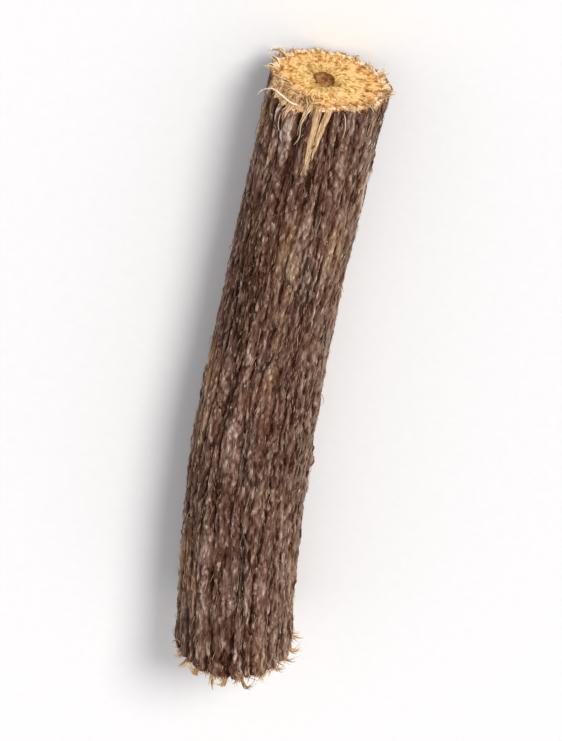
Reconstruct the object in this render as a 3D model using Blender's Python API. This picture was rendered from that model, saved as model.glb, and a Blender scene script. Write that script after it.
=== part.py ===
"""A dried licorice root stick, sawn off at both ends and lying on its side.

Lengths are metres and +Z is up. The stick lies along X, with its showy sawn end towards +X.
The origin is on the small flat spot under the stick's middle, on which it rests.
A place on the bark is given by s, the distance along the stick from the far end, and by angle,
measured round the stick from the top (+Z) towards -Y. The stick grew as one piece and is one solid.
"""

import math

import bmesh
import bpy
import numpy as np

MM = 0.001
TURN = 2 * math.pi

# The stick as a whole. A wave is its number of turns along the stick and its phase.
LENGTH = 70 * MM
RADIUS = 5.85 * MM
BOW = 1.5 * MM
BEND, BEND_WAVE = 0.30 * MM, (0.9, 0.4)
SWELL, SWELL_WAVE = 0.12 * MM, (0.9, 0.6)
SMALL_SWELL, SMALL_SWELL_WAVE = 0.06 * MM, (2.3, 2.1)

# Its cross-section. Each shape is its number of lobes, phase and twist along the stick in radians.
OVAL, OVAL_SHAPE = 0.18 * MM, (2, 1.2, 1.5)
LOBES, LOBES_SHAPE = 0.12 * MM, (3, -0.8, 2.6)

# Long ridges of the bark, which wander, narrow and run into each other
RIDGES = 28
RIDGE_DEPTH = 0.36 * MM
RIDGE_WANDER, WANDER_LIMIT = 0.40, 1.1
RIDGE_ROUNDNESS = 0.6
RIDGE_STEPS = (0.0, 0.2, 0.5, 0.8)
WANDER_LENGTHS = (58 * MM, 29 * MM, 15 * MM, 8 * MM)
WANDER_REACH = 0.7
USUAL_STRENGTH, STRENGTH_WANDER = 0.72, 0.34
LEAST_STRENGTH, MOST_STRENGTH = 0.25, 1.1
FURROW_SEED, STRENGTH_SEED = 11, 12

# Height of the stick's middle, and the three low spots that it rests on, pressed flat by PAD_DIP
AXIS_HEIGHT = 6.15 * MM
AXIS_RISE, AXIS_WAVE = 0.10 * MM, (1.3, 1.0)
PAD_PLACES = (9 * MM, LENGTH / 2, 61 * MM)
PAD_LENGTH = 3.8 * MM
PAD_HALF_ANGLE = math.radians(27)
PAD_DIP = 0.24 * MM

# Rows of points near each sawn end, as distances from it, and their number in between
END_ROWS = (0.0, 0.7 * MM, 1.5 * MM, 2.5 * MM, 3.7 * MM, 5.1 * MM, 6.8 * MM)
MIDDLE_ROWS = 20

# The sawn faces: the slope of each cut, the height of each ring of points and the rim's teeth
SLANT_REACH = 9 * MM
SHOWY_SLOPE_UP, SHOWY_SLOPE_SIDE = 0.03, -0.04
FAR_SLOPE_UP, FAR_SLOPE_SIDE = -0.13, 0.06
FACE_RINGS = (0.90, 0.64, 0.36)
RING_HEIGHTS = (0.10 * MM, -0.10 * MM, 0.02 * MM)
RAY_RELIEF = 0.03 * MM
FLARE, FLARE_LENGTH = 0.16 * MM, 0.9 * MM
TOOTH, TOOTH_LEVEL = 0.24 * MM, 0.4
LEAST_TOOTH, TEETH_SEED = 0.3, 21

# The sunken pith of each sawn face, and how far its middle lies off the stick's
PITH_RADIUS, PITH_DEPTH = 0.95 * MM, 0.7 * MM
PITH_NARROWING, PITH_TIP = 0.8, 1.1
SHOWY_PITH_UP, SHOWY_PITH_SIDE = 0.1 * MM, -0.7 * MM
FAR_PITH_UP, FAR_PITH_SIDE = -0.3 * MM, 0.4 * MM

# The corner broken off the showy end's rim, and the tongue of wood torn down from it
CHIP_ANGLE, CHIP_HALF_WIDTH = math.radians(-44), math.radians(34)
CHIP_DEPTH, CHIP_LENGTH = 1.15 * MM, 2.2 * MM
TONGUE_ANGLE, TONGUE_DRIFT = math.radians(0), math.radians(-5)
TONGUE_LENGTH, TONGUE_HEIGHT = 8.0 * MM, 0.42 * MM
TONGUE_HALF_WIDTH = math.radians(10)
TONGUE_NARROWING, TONGUE_FALL = 0.65, 0.6
BARE_SHARE = 0.35

# Splinters of wood that rise from just inside each rim and curl out over the bark
SPLINTER_SIDES, SPLINTER_SEGMENTS = 4, 5
SPLINTER_ROOT, SPLINTER_INSET = 1.2 * MM, 0.75 * MM
SPLINTER_RISE_SHARE = 0.2
SPLINTER_PLAY, SPLINTER_LEAN = 0.35, 0.22
SPLINTER_TIP = 0.4
RISE_RANGE = (0.6, 1.4)
SPREAD_RANGE = (0.9 * MM, 2.0 * MM)
CURL_RANGE = (1.6, 4.0)
THICKNESS_RANGE = (0.20 * MM, 0.30 * MM)
SHOWY_SPLINTERS, SHOWY_RISE, SHOWY_SEED = 16, 0.45 * MM, 31
FAR_SPLINTERS, FAR_RISE, FAR_SEED = 20, 0.8 * MM, 32

# Underneath they stand straight out of the face, clear of the ground
UNDERSIDE_HALF_ANGLE = math.radians(52)
UNDERSIDE_SPREAD, UNDERSIDE_CURL = 0.3 * MM, math.pi / 2

# Stubs of two lateral rootlets, on the sides that lie away from the showy face's view
STUB_PLACES = ((23 * MM, math.radians(112)), (49 * MM, math.radians(-118)))
STUB_RADIUS, STUB_TOP_RADIUS, STUB_HEIGHT = 1.30 * MM, 0.95 * MM, 0.45 * MM
STUB_SIDES = 10
STUB_SUNK = 1.6 * MM

BARK_COLOUR = (0.130, 0.070, 0.044, 1.0)
WOOD_COLOUR = (0.640, 0.385, 0.145, 1.0)
BARK_ROUGHNESS = 0.82
WOOD_ROUGHNESS = 0.88


def smooth(value):
    """A ramp from 0 to 1 with soft ends."""
    t = np.clip(value, 0.0, 1.0)
    return t * t * (3 - 2 * t)


def wave(s, turns, phase):
    """A sine wave along the stick."""
    return np.sin(TURN * turns * s / LENGTH + phase)


def lobes(s, angle, count, phase, twist):
    """A cosine wave round the stick, which twists along it."""
    return np.cos(count * angle + phase + twist * s / LENGTH)


def wander(s, seed, count):
    """For each of count lines, a smooth run of values between about -1 and 1 along the stick."""
    draw = np.random.default_rng(seed)
    total = np.zeros((len(s), count))
    for length in WANDER_LENGTHS:
        phase = draw.uniform(0, TURN, count)
        total += length * np.sin(TURN * s[:, None] / length + phase)
    return total / (WANDER_REACH * sum(WANDER_LENGTHS))


def furrow_angles(s):
    """The angle of each furrow between two ridges, one row for each s."""
    drift = np.clip(wander(s, FURROW_SEED, RIDGES), -WANDER_LIMIT, WANDER_LIMIT)
    return (np.arange(RIDGES) + RIDGE_WANDER * drift) * TURN / RIDGES


def ridge_strengths(s):
    """How high each ridge stands, as a share of the full depth."""
    strength = USUAL_STRENGTH + STRENGTH_WANDER * wander(s, STRENGTH_SEED, RIDGES)
    return np.clip(strength, LEAST_STRENGTH, MOST_STRENGTH)


def pad_mask(s, angle):
    """1 on the three low spots underneath, 0 away from them."""
    along = sum(np.exp(-(((s - place) / PAD_LENGTH) ** 4)) for place in PAD_PLACES)
    from_below = np.abs(np.angle(np.exp(1j * (angle - math.pi))))
    return along * np.exp(-((from_below / PAD_HALF_ANGLE) ** 4))


def plain_radius(s, angle):
    """The stick's radius before its ridges: slow swells, an oval, three faint lobes, flared ends."""
    swell = SWELL * wave(s, *SWELL_WAVE) + SMALL_SWELL * wave(s, *SMALL_SWELL_WAVE)
    section = OVAL * lobes(s, angle, *OVAL_SHAPE) + LOBES * lobes(s, angle, *LOBES_SHAPE)
    flare = FLARE * (np.exp(-(LENGTH - s) / FLARE_LENGTH) + np.exp(-s / FLARE_LENGTH))
    return RADIUS + swell + section + flare


def axis_height(s):
    """The height of the stick's middle above the ground."""
    return AXIS_HEIGHT + AXIS_RISE * wave(s, *AXIS_WAVE)


def section_radius(s, angle):
    """The radius with the low spots added, which reach just under the ground before it flattens them."""
    below = np.full_like(s, math.pi)
    reach = axis_height(s) + PAD_DIP - plain_radius(s, below)
    return plain_radius(s, angle) + reach * pad_mask(s, angle)


def chip(s, angle):
    """How deep the broken corner of the showy rim cuts into the side."""
    across = np.exp(-(((angle - CHIP_ANGLE) / CHIP_HALF_WIDTH) ** 4))
    return CHIP_DEPTH * across * smooth((s - LENGTH + CHIP_LENGTH) / CHIP_LENGTH)


def tongue(s, angle):
    """How far the torn tongue of wood stands out from the bark under the showy rim."""
    down = np.clip((LENGTH - s) / TONGUE_LENGTH, 0.0, 1.0)
    middle = TONGUE_ANGLE + TONGUE_DRIFT * down
    half_width = TONGUE_HALF_WIDTH * (1 - TONGUE_NARROWING * down)
    across = np.exp(-(((angle - middle) / half_width) ** 4))
    return TONGUE_HEIGHT * (1 - down) ** TONGUE_FALL * across


def centre_line(s):
    """The y and z of the stick's middle. The bow's own average is zero, so it rests level."""
    along = 2 * s / LENGTH - 1
    y = BOW * (1 / 3 - along**2) + BEND * wave(s, *BEND_WAVE)
    return y, axis_height(s)


def slant(s, angle, radius):
    """How far a point moves along X so that the rows near an end follow its slanting cut."""
    up, side = radius * np.cos(angle), radius * np.sin(angle)
    near_showy = smooth(1 - (LENGTH - s) / SLANT_REACH)
    near_far = smooth(1 - s / SLANT_REACH)
    showy = SHOWY_SLOPE_UP * up + SHOWY_SLOPE_SIDE * side
    far = FAR_SLOPE_UP * up + FAR_SLOPE_SIDE * side
    return near_showy * showy + near_far * far


def place(s, angle, radius):
    """The point at this radius from the middle of the stick, with the ground as its floor."""
    y, z = centre_line(s)
    x = s - LENGTH / 2 + slant(s, angle, radius)
    height = np.maximum(z + radius * np.cos(angle), 0.0)
    return np.stack([x, y - radius * np.sin(angle), height], axis=-1)


def row_places():
    """Every row's distance along the stick, close together near the ends."""
    start = np.array(END_ROWS)
    middle = np.linspace(start[-1], LENGTH - start[-1], MIDDLE_ROWS + 1)[1:-1]
    return np.concatenate([start, middle, LENGTH - start[::-1]])


def bark_points():
    """The grid of points on the bark: four columns for each ridge, from furrow to furrow."""
    s = row_places()
    furrows = furrow_angles(s)
    widths = np.roll(furrows, -1, axis=1) - furrows
    widths[:, -1] += TURN
    share = widths * RIDGES / TURN
    strengths = ridge_strengths(s) * np.sqrt(np.maximum(share, 0.0))
    angles, heights = [], []
    for step in RIDGE_STEPS:
        angles.append(furrows + step * widths)
        heights.append(strengths * math.sin(math.pi * step) ** RIDGE_ROUNDNESS)
    angle = np.stack(angles, axis=-1).reshape(len(s), -1)
    angle = np.where(angle > math.pi, angle - TURN, angle)
    height = np.stack(heights, axis=-1).reshape(len(s), -1)
    rows = np.repeat(s[:, None], angle.shape[1], axis=1)
    ridge = RIDGE_DEPTH * (height - 0.5) * (1 - pad_mask(rows, angle))
    radius = section_radius(rows, angle) + ridge - chip(rows, angle) + tongue(rows, angle)
    return rows, angle, radius, height


def ring_points(end_s, outward, rim_angle, rim_radius, share, height, pith):
    """A ring of points on a sawn face, a share of the way out from the pith to the rim."""
    up = share * rim_radius * np.cos(rim_angle) + (1 - share) * pith[0]
    side = share * rim_radius * np.sin(rim_angle) + (1 - share) * pith[1]
    angle, radius = np.arctan2(side, up), np.hypot(up, side)
    points = place(np.full_like(angle, end_s), angle, radius)
    points[:, 0] += outward * height
    return points


def bridge(bm, outer, inner):
    """Faces from one ring of points to the next, which has as many points or half as many."""
    halves = len(outer) // len(inner)
    for k in range(len(inner)):
        a, b = inner[k], inner[(k + 1) % len(inner)]
        c, d = outer[halves * k], outer[(halves * (k + 1)) % len(outer)]
        if halves == 1:
            bm.faces.new((c, d, b, a))
            continue
        middle = outer[2 * k + 1]
        bm.faces.new((c, middle, a))
        bm.faces.new((middle, b, a))
        bm.faces.new((middle, d, b))


def close_end(bm, rim, end_s, outward, rim_angle, rim_radius, pith):
    """The sawn face: a raised band inside the rim, faint rays and a sunken pith."""
    outer, angle, radius = rim, rim_angle, rim_radius
    for share, height in zip(FACE_RINGS, RING_HEIGHTS):
        if share == FACE_RINGS[1]:
            angle, radius = angle[::2], radius[::2]
        rays = RAY_RELIEF * np.sin(angle * RIDGES / 2)
        points = ring_points(end_s, outward, angle, radius, share, height + rays, pith)
        inner = [bm.verts.new(p) for p in points]
        bridge(bm, outer, inner)
        outer = inner
    angle, radius = angle[::2], radius[::2]
    pith_share = PITH_RADIUS / radius
    for depth, narrowing in ((0.0, 1.0), (PITH_DEPTH, PITH_NARROWING)):
        points = ring_points(end_s, outward, angle, radius, narrowing * pith_share, -depth, pith)
        inner = [bm.verts.new(p) for p in points]
        bridge(bm, outer, inner)
        outer = inner
    tip = ring_points(end_s, outward, angle[:1], radius[:1], 0.0, -PITH_TIP * PITH_DEPTH, pith)
    middle = bm.verts.new(tip[0])
    for k, vertex in enumerate(outer):
        bm.faces.new((vertex, outer[(k + 1) % len(outer)], middle))


def stick_mesh():
    """The whole stick as one closed mesh, with the sawn faces and the tongue in the wood's colour."""
    rows, angle, radius, height = bark_points()
    points = place(rows, angle, radius)
    draw = np.random.default_rng(TEETH_SEED)
    for row, outward in ((0, -1), (-1, 1)):
        teeth = (height[row] - TOOTH_LEVEL) * draw.uniform(LEAST_TOOTH, 1.0, len(height[row]))
        points[row, :, 0] += outward * TOOTH * teeth
    bm = bmesh.new()
    grid = [[bm.verts.new(p) for p in row] for row in points]
    for lower, upper in zip(grid, grid[1:]):
        bridge(bm, lower, upper)
    bark_faces = len(bm.faces)
    showy_pith = (SHOWY_PITH_UP, SHOWY_PITH_SIDE)
    far_pith = (FAR_PITH_UP, FAR_PITH_SIDE)
    close_end(bm, grid[-1], LENGTH, 1, angle[-1], radius[-1], showy_pith)
    close_end(bm, grid[0], 0.0, -1, angle[0], radius[0], far_pith)
    torn = tongue(rows, angle) > BARE_SHARE * TONGUE_HEIGHT
    bare = torn | (chip(rows, angle) > BARE_SHARE * CHIP_DEPTH)
    columns = angle.shape[1]
    for number, face in enumerate(bm.faces):
        wood = number >= bark_faces
        if not wood:
            row, column = divmod(number, columns)
            wood = bool(bare[row, column] and bare[row + 1, column])
        face.material_index = int(wood)
    bmesh.ops.recalc_face_normals(bm, faces=bm.faces)
    mesh = bpy.data.meshes.new("licorice_root")
    bm.to_mesh(mesh)
    bm.free()
    return mesh


def tapered_mesh(name, centres, radii, sides, sideways):
    """A closed tapering prism that follows the centres, which bend in a plane square to sideways."""
    centres = np.asarray(centres)
    tangents = np.gradient(centres, axis=0)
    bm = bmesh.new()
    rings = []
    for centre, tangent, radius in zip(centres, tangents, radii):
        along = tangent / np.linalg.norm(tangent)
        across = np.cross(along, sideways)
        across /= np.linalg.norm(across)
        other = np.cross(along, across)
        turns = np.arange(sides) * TURN / sides
        ring = centre + radius * (np.outer(np.cos(turns), across) + np.outer(np.sin(turns), other))
        rings.append([bm.verts.new(p) for p in ring])
    for lower, upper in zip(rings, rings[1:]):
        bridge(bm, lower, upper)
    bm.faces.new(rings[0])
    bm.faces.new(rings[-1])
    bmesh.ops.recalc_face_normals(bm, faces=bm.faces)
    bmesh.ops.triangulate(bm, faces=bm.faces)
    mesh = bpy.data.meshes.new(name)
    bm.to_mesh(mesh)
    bm.free()
    return mesh


def splinter_path(end_s, outward, angle, rise, spread, curl, lean):
    """Points from inside the wood, up through the face near the rim and out over the bark."""
    at = np.array([end_s])
    start = (section_radius(at, angle) - chip(at, angle))[0] - SPLINTER_INSET
    y, z = (value[0] for value in centre_line(at))
    points = []
    for share in np.linspace(0.0, 1.0, SPLINTER_SEGMENTS + 1):
        inside = max(0.0, 1 - share / SPLINTER_RISE_SHARE)
        past = max(0.0, (share - SPLINTER_RISE_SHARE) / (1 - SPLINTER_RISE_SHARE))
        axial = rise * math.sin(curl * past) - SPLINTER_ROOT * inside
        out, turn = start + spread * past, angle + lean * past
        x = end_s - LENGTH / 2 + slant(at, turn, out)[0] + outward * axial
        points.append((x, y - out * math.sin(turn), z + out * math.cos(turn)))
    return points


def add_splinters(collection, material, end_s, outward, rise, count, seed):
    """Splinters round one rim, evenly spread with some play. Those underneath stay off the ground."""
    draw = np.random.default_rng(seed)
    for number in range(count):
        angle = (number + draw.uniform(-SPLINTER_PLAY, SPLINTER_PLAY)) * TURN / count - math.pi
        height = rise * draw.uniform(*RISE_RANGE)
        spread = draw.uniform(*SPREAD_RANGE)
        curl = draw.uniform(*CURL_RANGE)
        lean = draw.uniform(-SPLINTER_LEAN, SPLINTER_LEAN)
        thickness = draw.uniform(*THICKNESS_RANGE)
        if math.pi - abs(angle) < UNDERSIDE_HALF_ANGLE:
            spread, curl = UNDERSIDE_SPREAD, UNDERSIDE_CURL
        centres = splinter_path(end_s, outward, angle, height, spread, curl, lean)
        radii = thickness * np.linspace(1.0, SPLINTER_TIP, SPLINTER_SEGMENTS + 1)
        sideways = (0.0, math.cos(angle), math.sin(angle))
        mesh = tapered_mesh("splinter", centres, radii, SPLINTER_SIDES, sideways)
        mesh.materials.append(material)
        collection.objects.link(bpy.data.objects.new("splinter", mesh))


def add_stubs(collection, material):
    """The two low stubs where lateral rootlets broke off."""
    for s, angle in STUB_PLACES:
        at = np.array([s])
        surface = section_radius(at, angle)[0]
        depths = (-STUB_SUNK, 0.0, STUB_HEIGHT)
        centres = [place(at, np.array([angle]), surface + depth)[0] for depth in depths]
        radii = (STUB_RADIUS, STUB_RADIUS, STUB_TOP_RADIUS)
        mesh = tapered_mesh("stub", centres, radii, STUB_SIDES, (1.0, 0.0, 0.0))
        mesh.materials.append(material)
        collection.objects.link(bpy.data.objects.new("stub", mesh))


def fuse(stick, collection):
    """Joins the collection's solids to the stick for good, and removes them."""
    union = stick.modifiers.new("fused", "BOOLEAN")
    union.operation = "UNION"
    union.operand_type = "COLLECTION"
    union.collection = collection
    union.solver = "EXACT"
    union.material_mode = "TRANSFER"
    bpy.context.view_layer.objects.active = stick
    bpy.ops.object.modifier_apply(modifier=union.name)
    for piece in list(collection.objects):
        bpy.data.objects.remove(piece)
    bpy.data.collections.remove(collection)


def surface_material(name, colour, roughness):
    material = bpy.data.materials.new(name)
    material.use_nodes = True
    shader = material.node_tree.nodes["Principled BSDF"]
    shader.inputs["Base Color"].default_value = colour
    shader.inputs["Roughness"].default_value = roughness
    shader.inputs["Metallic"].default_value = 0.0
    material.diffuse_color = colour
    return material


def main():
    for obj in list(bpy.data.objects):
        bpy.data.objects.remove(obj)
    bark = surface_material("bark", BARK_COLOUR, BARK_ROUGHNESS)
    wood = surface_material("wood", WOOD_COLOUR, WOOD_ROUGHNESS)
    stick = bpy.data.objects.new("licorice_root", stick_mesh())
    stick.data.materials.append(bark)
    stick.data.materials.append(wood)
    bpy.context.scene.collection.objects.link(stick)
    repeats = bpy.data.collections.new("repeats")
    bpy.context.scene.collection.children.link(repeats)
    add_splinters(repeats, wood, LENGTH, 1, SHOWY_RISE, SHOWY_SPLINTERS, SHOWY_SEED)
    add_splinters(repeats, wood, 0.0, -1, FAR_RISE, FAR_SPLINTERS, FAR_SEED)
    add_stubs(repeats, bark)
    fuse(stick, repeats)


main()
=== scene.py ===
"""The looks of a dried licorice root stick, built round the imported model.

Lengths are metres and +Z is up. A place on the bark is given as in the model: by s, the distance
along the stick from the far end, and by angle, measured round it from the top (+Z) towards -Y.
In the functions, rows holds n distances s, and angle is an array of n rows of angles.
"""

from math import cos, pi, radians, sin
from types import SimpleNamespace

import bpy
import numpy as np
from mathutils import Matrix, Vector
from numpy.random import default_rng


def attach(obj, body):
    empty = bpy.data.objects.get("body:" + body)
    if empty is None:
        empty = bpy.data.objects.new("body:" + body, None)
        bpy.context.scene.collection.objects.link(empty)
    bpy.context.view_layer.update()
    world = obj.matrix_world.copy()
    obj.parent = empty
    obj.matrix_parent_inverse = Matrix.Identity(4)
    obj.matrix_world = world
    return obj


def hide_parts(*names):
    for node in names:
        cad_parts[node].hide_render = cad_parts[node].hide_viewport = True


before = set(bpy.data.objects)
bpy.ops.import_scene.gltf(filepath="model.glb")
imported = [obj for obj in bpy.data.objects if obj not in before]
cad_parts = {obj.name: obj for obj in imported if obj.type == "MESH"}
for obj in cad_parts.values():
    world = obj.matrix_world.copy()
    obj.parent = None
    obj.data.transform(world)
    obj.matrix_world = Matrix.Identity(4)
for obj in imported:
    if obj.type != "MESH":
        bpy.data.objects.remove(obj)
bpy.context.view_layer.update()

MM = 0.001
TURN = 2 * pi

# The model's own form, repeated here
LENGTH = 70 * MM
RADIUS = 5.85 * MM
BOW = 1.5 * MM
BEND = (0.3 * MM, 0.9, 0.4)
SWELL = (0.12 * MM, 0.9, 0.6)
SMALL_SWELL = (0.06 * MM, 2.3, 2.1)
OVAL = (0.18 * MM, 2, 1.2, 1.5)
LOBES = (0.12 * MM, 3, -0.8, 2.6)
RIDGES = 28
RIDGE_DEPTH = 0.36 * MM
RIDGE_WANDER, WANDER_LIMIT = 0.4, 1.1
RIDGE_ROUNDNESS = 0.6
WANDER_LENGTHS = (58 * MM, 29 * MM, 15 * MM, 8 * MM)
WANDER_REACH = 0.7
USUAL_STRENGTH, STRENGTH_WANDER = 0.72, 0.34
LEAST_STRENGTH, MOST_STRENGTH = 0.25, 1.1
FURROW_SEED, STRENGTH_SEED = 11, 12
AXIS_HEIGHT, AXIS_RISE = 6.15 * MM, (0.1 * MM, 1.3, 1.0)
PAD_PLACES = (9 * MM, LENGTH / 2, 61 * MM)
PAD_LENGTH = 3.8 * MM
PAD_HALF_ANGLE = radians(27)
PAD_DIP = 0.24 * MM
SLANT_REACH = 9 * MM
FLARE, FLARE_LENGTH = 0.16 * MM, 0.9 * MM
PITH_RADIUS, PITH_DEPTH = 0.95 * MM, 0.7 * MM
CHIP_ANGLE, CHIP_HALF_WIDTH = radians(-44), radians(34)
CHIP_DEPTH, CHIP_LENGTH = 1.15 * MM, 2.2 * MM
TONGUE_ANGLE, TONGUE_DRIFT = radians(0), radians(-5)
TONGUE_LENGTH, TONGUE_HEIGHT = 8.0 * MM, 0.42 * MM
TONGUE_HALF_WIDTH = radians(10)
TONGUE_NARROWING, TONGUE_FALL = 0.65, 0.6
GAP_HALF_WIDTH, GAP_END, GAP_FADE = radians(2.6), 0.78, 0.25
SPLINTER_INSET = 0.75 * MM
SPLINTER_PLAY, SPLINTER_LEAN = 0.35, 0.22
RISE_RANGE = (0.6, 1.4)
SPREAD_RANGE = (0.9 * MM, 2.0 * MM)
CURL_RANGE = (1.6, 4.0)
THICKNESS_RANGE = (0.2 * MM, 0.3 * MM)
UNDERSIDE_HALF_ANGLE = radians(52)
UNDERSIDE_SPREAD, UNDERSIDE_CURL = 0.3 * MM, pi / 2
STUB_PLACES = ((23 * MM, radians(112)), (49 * MM, radians(-118)))
STUB_RADIUS, STUB_TOP_RADIUS, STUB_HEIGHT = 1.3 * MM, 0.95 * MM, 0.45 * MM
STUB_FLARE, STUB_EDGE = 0.15 * MM, 0.18 * MM
HOLLOW_RADIUS, HOLLOW_DEPTH = 0.45 * MM, 0.22 * MM

# Fineness of the stick's surface, and the number of triangles that are kept of it
COLUMNS = 560
ROW_SPACING, END_ROW_SPACING, END_ROWS_REACH = 0.19 * MM, 0.07 * MM, 2.5 * MM
FACE_RINGS = 74
STICK_TRIANGLES = 194000

# Finer relief of the bark: strips half a ridge wide, creases, cork plates, wrinkles across, specks, grain
STRIP_DEPTH, STRIP_LENGTH, STRIP_WANDER = 0.13 * MM, 6.0 * MM, 0.9
CREASES, FINE_CREASES = (0.13 * MM, 2.4 * MM, 1.5, 111), (0.08 * MM, 1.1 * MM, 3, 115)
CREASE_TOP, CREASE_ROUNDNESS, CREASE_MIDDLE = 0.45, 0.7, 0.6
LEAST_CREASING, MOST_CREASING = 0.45, 1.15
PLATE_LENGTH, PLATES_AROUND = 3.4 * MM, 42
PLATE_STEP, PLATE_TILT, PLATE_CRACK = 0.06 * MM, 0.05 * MM, 0.06 * MM
CRACK_SHARE = 0.09
WRINKLE_LENGTH, WRINKLE_DEPTH, WRINKLE_SHARE = 1.3 * MM, 0.06 * MM, 0.1
SPECK_LENGTH, SPECKS_AROUND, SPECK_HEIGHT, SPECK_SIZE = 1.8 * MM, 70, 0.05 * MM, 0.26
GRAIN_LENGTH, GRAIN_DEPTH = 0.55 * MM, 0.035 * MM
PAD_SMOOTHING = 0.8

# Deeper furrows beside the torn strips, and a faint smear of bare fibres below them
DEEP_ANGLE, DEEP_HALF_WIDTH = radians(-38), radians(32)
DEEP_LENGTH, DEEP_FADE, DEEPENING = 13 * MM, 5 * MM, 0.7
SMEAR_ANGLE, SMEAR_HALF_WIDTH, SMEAR_STRENGTH = radians(-8), radians(4), 0.5
SMEAR_START, SMEAR_LENGTH, SMEAR_FADE = 5 * MM, 12 * MM, 5 * MM

# Small round scars of fine rootlets: distance along the stick in mm, angle in degrees, radius in mm
SCAR_COLLAR, SCAR_DEPTH = 0.16 * MM, 0.2 * MM
SCARS = ((12, -35, 0.42), (31, 24, 0.5), (38, -62, 0.36), (54, 47, 0.4), (44, 160, 0.45), (17, -150, 0.5))

# The sawn faces: each split is an angle in degrees, its reach, and its width and depth in mm
FACE_SHAPE_SHARES = (0.0, 0.16, 0.36, 0.64, 0.88, 0.97, 1.0)
FACE_SHAPE_HEIGHTS = (0.0, 0.0, 0.02, -0.09, 0.09, 0.03, -0.05)
RAYS, RAY_DEPTH = 84, 0.085 * MM
COARSE_SIZE, COARSE_DEPTH = 0.34 * MM, 0.062 * MM
COMB_ANGLE, COMB_HALF_WIDTH, COMB_TEETH = radians(62), radians(24), 58
COMB_DEPTH = 0.6 * MM
SUNK_PITH_SHARE, PITH_TALLNESS = 0.3, 0.075
CRUMB_SIZE, CRUMB_DEPTH = 0.22 * MM, 0.1 * MM
RIM_RAGGEDNESS = 0.16 * MM
CAMBIUM_SHARE, CAMBIUM_WIDTH, CAMBIUM_DEPTH = 0.845, 0.016, 0.07 * MM
SPLITS = ((72, 0.32, 0.26, 0.45), (-128, 0.55, 0.05, 0.22), (163, 0.62, 0.06, 0.25))
TEAR_ANGLE, TEAR_HALF_WIDTH = radians(-36), radians(30)
TEAR_DEPTH, TEAR_START, TEAR_FADE = 0.55 * MM, 0.52, 0.4
TORN_WOOD_SHIFT = 0.22

# Both ends: the model's cut, pith and splinters, the fibres of each splinter, the loose fibres of the
# rim, and how often their tufts stand anywhere on it and near the crowded angle
SHOWY = SimpleNamespace(
    name="showy", s=LENGTH, outward=1, slope_up=0.03, slope_side=-0.04, pith_up=0.1 * MM,
    pith_side=-0.7 * MM, splinters=16, rise=0.45 * MM, seed=31, fibres=9,
    fringe=420, fringe_seed=41, fringe_length=0.4 * MM, evenly=0.15, crowding=0.6,
)
FAR = SimpleNamespace(
    name="far", s=0.0, outward=-1, slope_up=-0.13, slope_side=0.06, pith_up=-0.3 * MM,
    pith_side=0.4 * MM, splinters=20, rise=0.8 * MM, seed=32, fibres=11,
    fringe=800, fringe_seed=42, fringe_length=0.62 * MM, evenly=0.5, crowding=0.0,
)
CROWDED_ANGLE, CROWDED_WIDTH = radians(-95), 0.8

# Torn strips: angles at the rim and at the end in degrees, length in mm, fibres, width in mm, seed
TORN_STRIPS = (
    (-5.2, -5.4, 7.6, 32, 0.66, 61),
    (4.6, -3.4, 6.4, 28, 0.64, 62),
    (-17, -21, 3.6, 7, 0.4, 63),
    (-33, -37, 2.6, 8, 0.6, 64),
)

# Loose fibres: thickness in mm, tint, then points of distance below the showy rim in mm, angle in
# degrees and height over the plain radius in mm. The first curls off the broken corner
LOOSE_FIBRES = (
    (0.095, 1.0, (1.6, -25, -1.6), (0.9, -29, -0.7), (0.6, -34, 0.0), (0.3, -44, 0.25), (0.2, -56, 0.5),
     (0.7, -64, 0.8), (1.3, -69, 1.05), (2.0, -72, 1.2)),
    (0.05, 0.6, (1.0, -37, -1.6), (1.2, -39, -0.5), (2.0, -42, 0.2), (3.3, -41, 0.4), (4.0, -38, 0.35)),
    (0.085, 1.0, (0.6, -92, -0.9), (-0.15, -93, -0.3), (-0.3, -94, 0.1), (-0.1, -95, 0.4), (0.3, -96, 0.45)),
    (0.075, 0.9, (0.6, -103, -1.0), (-0.2, -105, -0.35), (-0.4, -107, 0.15), (-0.2, -109, 0.5),
     (0.2, -109, 0.6)),
    (0.055, 0.8, (0.5, -118, -0.9), (-0.5, -120, -0.2), (-1.0, -118, 0.35), (-0.9, -112, 0.8),
     (-0.3, -108, 0.9)),
    (0.05, 0.7, (0.3, -14, -0.9), (0.9, -15, 0.1), (2.2, -18, 0.3), (3.6, -17, 0.25), (4.6, -20, 0.4)),
    (0.045, 0.6, (0.3, 21, -0.8), (0.7, 22, 0.1), (1.9, 24, 0.25), (2.9, 23, 0.4)),
    (0.045, 0.7, (0.5, 118, -0.8), (-0.5, 121, 0.1), (-0.8, 127, 0.6), (-0.4, 131, 0.9)),
)


def linear(red, green, blue):
    """A colour as shader inputs want it, from screen values of 0 to 255."""
    values = [channel / 255 for channel in (red, green, blue)]
    return tuple(v / 12.92 if v <= 0.04045 else ((v + 0.055) / 1.055) ** 2.4 for v in values) + (1.0,)


def smooth(value):
    """A ramp from 0 to 1 with soft ends."""
    t = np.clip(value, 0.0, 1.0)
    return t * t * (3 - 2 * t)


def bump_at(distance, width):
    """1 at no distance, falling to 0 past the width."""
    return np.exp(-((distance / width) ** 2))


def plateau(distance, width):
    """About 1 within the width, falling steeply to 0 past it."""
    return np.exp(-((distance / width) ** 4))


def wrapped(angle):
    """The same angle between minus and plus half a turn."""
    return (angle + pi) % TURN - pi


# Patterns

LATTICE = 512


def fade(t):
    return t * t * t * (t * (6 * t - 15) + 10)


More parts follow.
